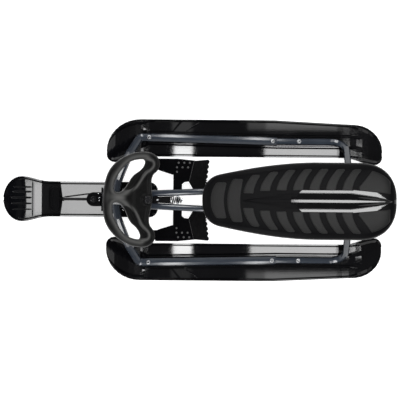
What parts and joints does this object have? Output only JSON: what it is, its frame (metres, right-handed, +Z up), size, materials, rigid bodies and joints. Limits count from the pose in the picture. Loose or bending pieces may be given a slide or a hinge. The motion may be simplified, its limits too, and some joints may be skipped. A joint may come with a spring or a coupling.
{
  "type": "steering sled",
  "caption": "Low sled on two long rear skis with a steered front ski under a butterfly wheel, a toothed foot brake, a moulded seat and a winding tow line.",
  "frame": {"origin": "on the floor under the middle of the sled's box", "axes": "the nose points along -X, the left side is +Y and +Z is up"},
  "size_m": [1.162, 0.4934, 0.3578],
  "materials": {
    "frame_lacquer": "satin slate lacquer",
    "nylon": "plain moulded nylon",
    "zinc_steel": "bright zinc",
    "collar_black": "satin",
    "wheel_grip": "soft touch, fine grain",
    "cap_black": "satin",
    "ski_black": "glossy moulded",
    "bracket_black": "satin",
    "reel_black": "glossy moulded",
    "seat_black": "satin with grained pads",
    "saddle_black": "satin",
    "brake_black": "matt moulded",
    "handle_black": "matt moulded",
    "tow_line": "woven cord"
  },
  "bodies": {
    "frame": {"head_tube": "frame_lacquer", "rear_hoop": "frame_lacquer", "spine_tube_left": "frame_lacquer", "front_tube_left": "frame_lacquer", "brake_bracket_left": "frame_lacquer", "spine_tube_right": "frame_lacquer", "front_tube_right": "frame_lacquer", "brake_bracket_right": "frame_lacquer", "bush_upper": "nylon", "bush_lower": "nylon", "brake_spring": "zinc_steel", "spring_block_screw": "zinc_steel", "ski_bolt_front_left": "zinc_steel", "sleeve_bolt_left": "zinc_steel", "ski_bolt_rear_left": "zinc_steel", "seat_bolt_front_left": "zinc_steel", "seat_bolt_rear_left": "zinc_steel", "ski_bolt_front_right": "zinc_steel", "sleeve_bolt_right": "zinc_steel", "ski_bolt_rear_right": "zinc_steel", "seat_bolt_front_right": "zinc_steel", "seat_bolt_rear_right": "zinc_steel", "rear_ski_left": "ski_black", "rear_ski_right": "ski_black", "seat": "seat_black", "seat_saddle_front": "saddle_black", "seat_saddle_rear": "saddle_black", "spring_block": "saddle_black"},
    "steering": {"steering_column": "zinc_steel", "steering_wheel": "wheel_grip", "wheel_nut": "zinc_steel", "hub_cap": "cap_black", "collar_upper": "collar_black", "collar_lower": "collar_black"},
    "front_ski": {"front_ski": "ski_black", "ski_bracket": "bracket_black", "pivot_pin": "zinc_steel", "reel_case": "reel_black", "reel_cover": "reel_black", "tow_cord": "tow_line", "tow_strand": "tow_line", "bracket_screw_1": "zinc_steel", "bracket_screw_2": "zinc_steel", "bracket_screw_3": "zinc_steel", "bracket_screw_4": "zinc_steel", "reel_screw_1": "zinc_steel", "reel_screw_2": "zinc_steel", "reel_screw_3": "zinc_steel"},
    "reel_spool": {"reel_spool": "nylon"},
    "tow_handle": {"tow_handle": "handle_black"},
    "brake": {"brake_axle": "zinc_steel", "brake_plate_left": "brake_black", "brake_plate_right": "brake_black", "push_nut_left": "zinc_steel", "push_nut_right": "zinc_steel"}
  },
  "joints": [
    {"name": "steer", "type": "hinge", "parent": "frame", "child": "steering", "pos_m": [-0.1455, 0, 0.285], "axis": [0.5, 0, 0.866], "range_deg": [-28, 28]},
    {"name": "ski_pitch", "type": "hinge", "parent": "steering", "child": "front_ski", "pos_m": [-0.2755, 0, 0.05983], "axis": [0, 1, 0], "range_deg": [-10, 15]},
    {"name": "tow_pull", "type": "slide", "parent": "front_ski", "child": "tow_handle", "axis": [-0.766, 0, 0.6428], "range_m": [0, 0.25], "stiffness_N_per_m": 6, "springref_m": -0.1},
    {"name": "spool_turn", "type": "hinge", "parent": "front_ski", "child": "reel_spool", "pos_m": [-0.31446, 0, 0.025], "axis": [0, 0, 1], "range_deg": [0, 1310]},
    {"name": "brake_swing", "type": "hinge", "parent": "frame", "child": "brake", "pos_m": [-0.057, 0, 0.12], "axis": [0, 1, 0], "range_deg": [0, 30], "stiffness_Nm_per_rad": 1, "springref_deg": -34.38}
  ],
  "couplings": [
    {"joint": "spool_turn", "follows": "tow_pull", "rad_per_m": 90.9}
  ]
}
